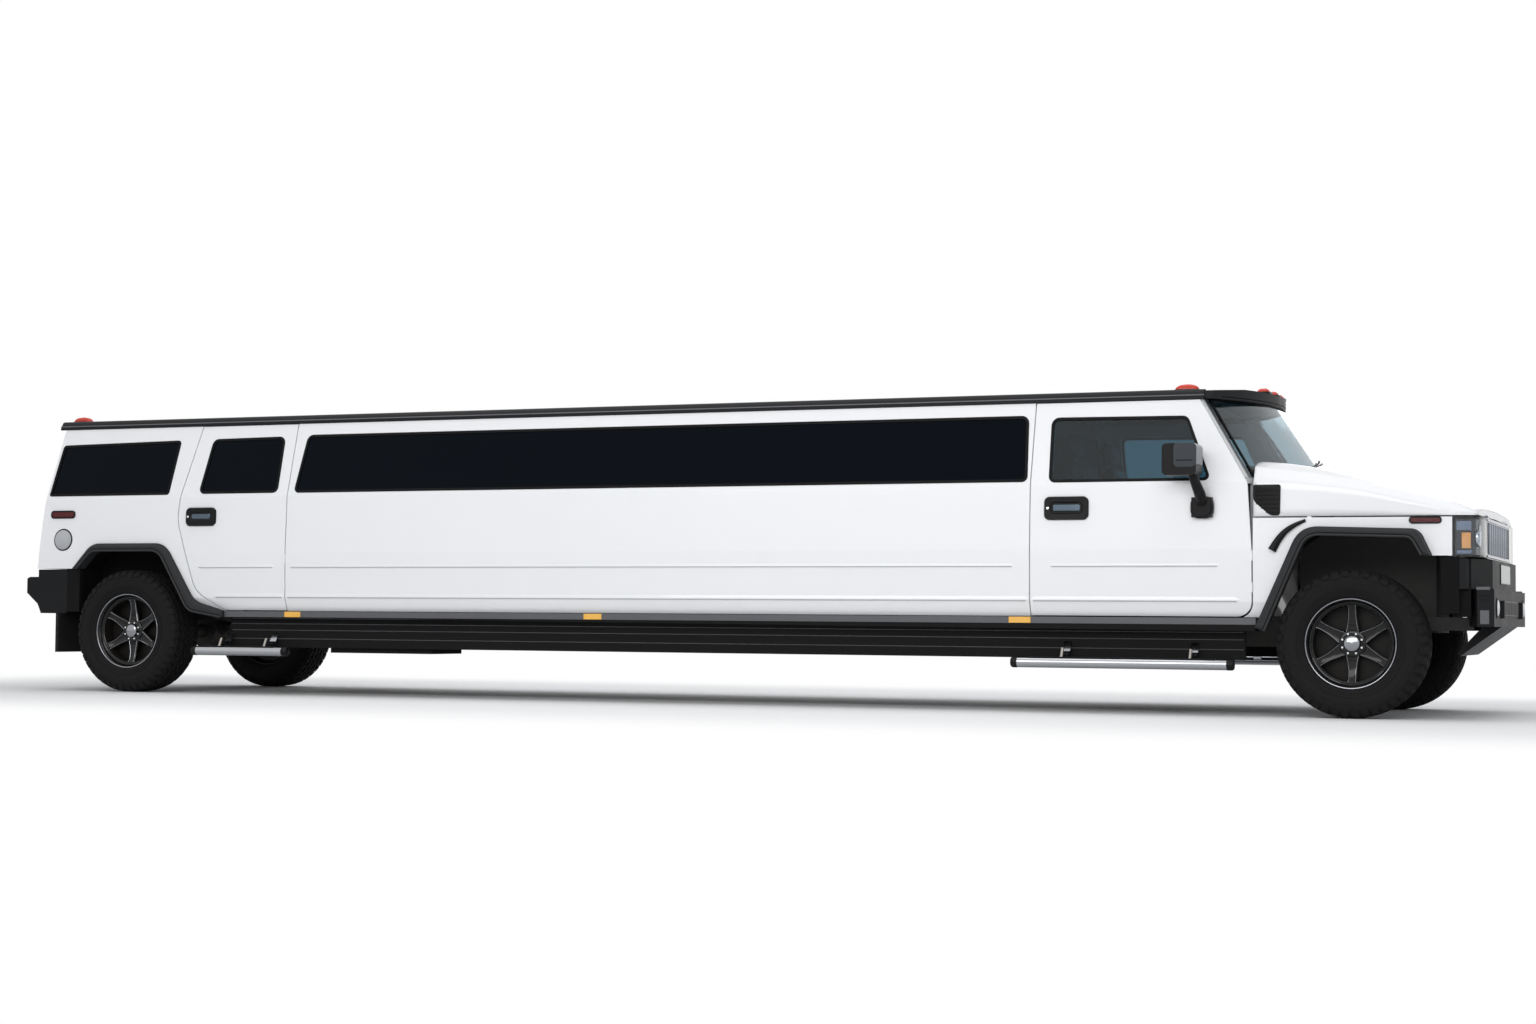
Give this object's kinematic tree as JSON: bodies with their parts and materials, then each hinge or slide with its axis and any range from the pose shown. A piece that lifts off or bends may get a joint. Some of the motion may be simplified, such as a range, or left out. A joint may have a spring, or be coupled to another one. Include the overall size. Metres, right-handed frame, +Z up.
{
  "type": "stretch limousine",
  "caption": "Stretched sport-utility limousine with long tinted side windows, side doors front and rear, rolling and steered wheels, opening hood and tailgate.",
  "frame": {"origin": "on the ground under the middle of the overall box", "axes": "+X forward, +Y to the vehicle's left, +Z up"},
  "size_m": [10.465, 2.38, 2.014],
  "materials": {
    "white_paint": "gloss",
    "black_paint": "satin",
    "grey_paint": "satin",
    "liner_plastic": "matte",
    "flare_plastic": "satin",
    "bumper_plastic": "satin",
    "trim_plastic": "satin",
    "vent_plastic": "satin",
    "mirror_shell": "gloss",
    "seat_leather": "satin",
    "tinted_glass": "gloss",
    "clear_glass": "gloss",
    "lamp_glass": "gloss",
    "red_lamp": "gloss",
    "marker_lens": "gloss",
    "chrome": "polished",
    "cast_iron": "matte",
    "exhaust_steel": "satin",
    "wheel_finish": "gloss",
    "tyre_rubber": "matte",
    "flap_rubber": "matte"
  },
  "bodies": {
    "vehicle": {"arch_liners": "liner_plastic", "cabin_seats": "seat_leather", "centre_panels": "white_paint", "dashboard": "trim_plastic", "driveline": "cast_iron", "engine": "cast_iron", "exhaust": "exhaust_steel", "fenders": "white_paint", "flares": "flare_plastic", "floor_pan": "black_paint", "frame_rails": "black_paint", "front_body_frame": "white_paint", "front_bumper": "bumper_plastic", "front_seats": "seat_leather", "front_suspension": "cast_iron", "fuel_tank": "liner_plastic", "grille": "chrome", "head_lamps": "lamp_glass", "marker_lamps": "marker_lens", "mud_flaps": "flap_rubber", "partition": "trim_plastic", "quarter_panels": "white_paint", "radiator_carrier": "black_paint", "rear_axle": "cast_iron", "rear_bumper": "bumper_plastic", "rockers": "grey_paint", "roof": "white_paint", "side_glass": "tinted_glass", "step_bars": "chrome", "tail_lamps": "red_lamp", "windshield": "clear_glass"},
    "front_door_left_body": {"front_door_left": "white_paint", "front_door_glass_left": "tinted_glass", "mirror_left": "mirror_shell"},
    "front_door_right_body": {"front_door_right": "white_paint", "front_door_glass_right": "tinted_glass", "mirror_right": "mirror_shell"},
    "rear_door_left_body": {"rear_door_left": "white_paint", "rear_door_glass_left": "tinted_glass"},
    "rear_door_right_body": {"rear_door_right": "white_paint", "rear_door_glass_right": "tinted_glass"},
    "hood_body": {"hood": "white_paint", "hood_vents": "vent_plastic"},
    "tailgate_body": {"tailgate": "white_paint", "tailgate_glass": "tinted_glass"},
    "knuckle_left_body": {"knuckle_left": "cast_iron"},
    "knuckle_right_body": {"knuckle_right": "cast_iron"},
    "wheel_front_left": {"tyre_front_left": "tyre_rubber", "rim_front_left": "wheel_finish"},
    "wheel_front_right": {"tyre_front_right": "tyre_rubber", "rim_front_right": "wheel_finish"},
    "wheel_rear_left": {"tyre_rear_left": "tyre_rubber", "rim_rear_left": "wheel_finish"},
    "wheel_rear_right": {"tyre_rear_right": "tyre_rubber", "rim_rear_right": "wheel_finish"},
    "steering_wheel_body": {"steering_wheel": "trim_plastic"}
  },
  "joints": [
    {"name": "front_door_left_hinge", "type": "hinge", "parent": "vehicle", "child": "front_door_left_body", "pos_m": [3.8255, 0.992, 0.86], "axis": [0, 0, -1], "range_deg": [0, 70]},
    {"name": "front_door_right_hinge", "type": "hinge", "parent": "vehicle", "child": "front_door_right_body", "pos_m": [3.8255, -0.992, 0.86], "axis": [0, 0, 1], "range_deg": [0, 70]},
    {"name": "rear_door_left_hinge", "type": "hinge", "parent": "vehicle", "child": "rear_door_left_body", "pos_m": [-2.9825, 0.992, 0.86], "axis": [0, 0, -1], "range_deg": [0, 70]},
    {"name": "rear_door_right_hinge", "type": "hinge", "parent": "vehicle", "child": "rear_door_right_body", "pos_m": [-2.9825, -0.992, 0.86], "axis": [0, 0, 1], "range_deg": [0, 70]},
    {"name": "hood_hinge", "type": "hinge", "parent": "vehicle", "child": "hood_body", "pos_m": [5.1355, 0, 1.199], "axis": [0, 1, 0], "range_deg": [0, 75]},
    {"name": "tailgate_hinge", "type": "hinge", "parent": "vehicle", "child": "tailgate_body", "pos_m": [-5.01366, 0, 1.927], "axis": [0, 1, 0], "range_deg": [0, 80]},
    {"name": "steer_left", "type": "hinge", "parent": "vehicle", "child": "knuckle_left_body", "pos_m": [4.4075, 0.7, 0.44], "axis": [0, 0, 1], "range_deg": [-30, 30]},
    {"name": "steer_right", "type": "hinge", "parent": "vehicle", "child": "knuckle_right_body", "pos_m": [4.4075, -0.7, 0.44], "axis": [0, 0, 1], "range_deg": [-30, 30]},
    {"name": "steering_wheel_turn", "type": "hinge", "parent": "vehicle", "child": "steering_wheel_body", "pos_m": [3.2325, 0.39, 1.29], "axis": [0.8829, 0, -0.4695], "range_deg": [-450, 450]},
    {"name": "roll_front_left", "type": "hinge", "parent": "knuckle_left_body", "child": "wheel_front_left", "pos_m": [4.4075, 0.8825, 0.44], "axis": [0, 1, 0], "continuous": true},
    {"name": "roll_front_right", "type": "hinge", "parent": "knuckle_right_body", "child": "wheel_front_right", "pos_m": [4.4075, -0.8825, 0.44], "axis": [0, 1, 0], "continuous": true},
    {"name": "roll_rear_left", "type": "hinge", "parent": "vehicle", "child": "wheel_rear_left", "pos_m": [-4.2995, 0.8825, 0.44], "axis": [0, 1, 0], "continuous": true},
    {"name": "roll_rear_right", "type": "hinge", "parent": "vehicle", "child": "wheel_rear_right", "pos_m": [-4.2995, -0.8825, 0.44], "axis": [0, 1, 0], "continuous": true}
  ],
  "couplings": [
    {"joint": "steer_right", "follows": "steer_left", "ratio": 1},
    {"joint": "steering_wheel_turn", "follows": "steer_left", "ratio": -15}
  ]
}
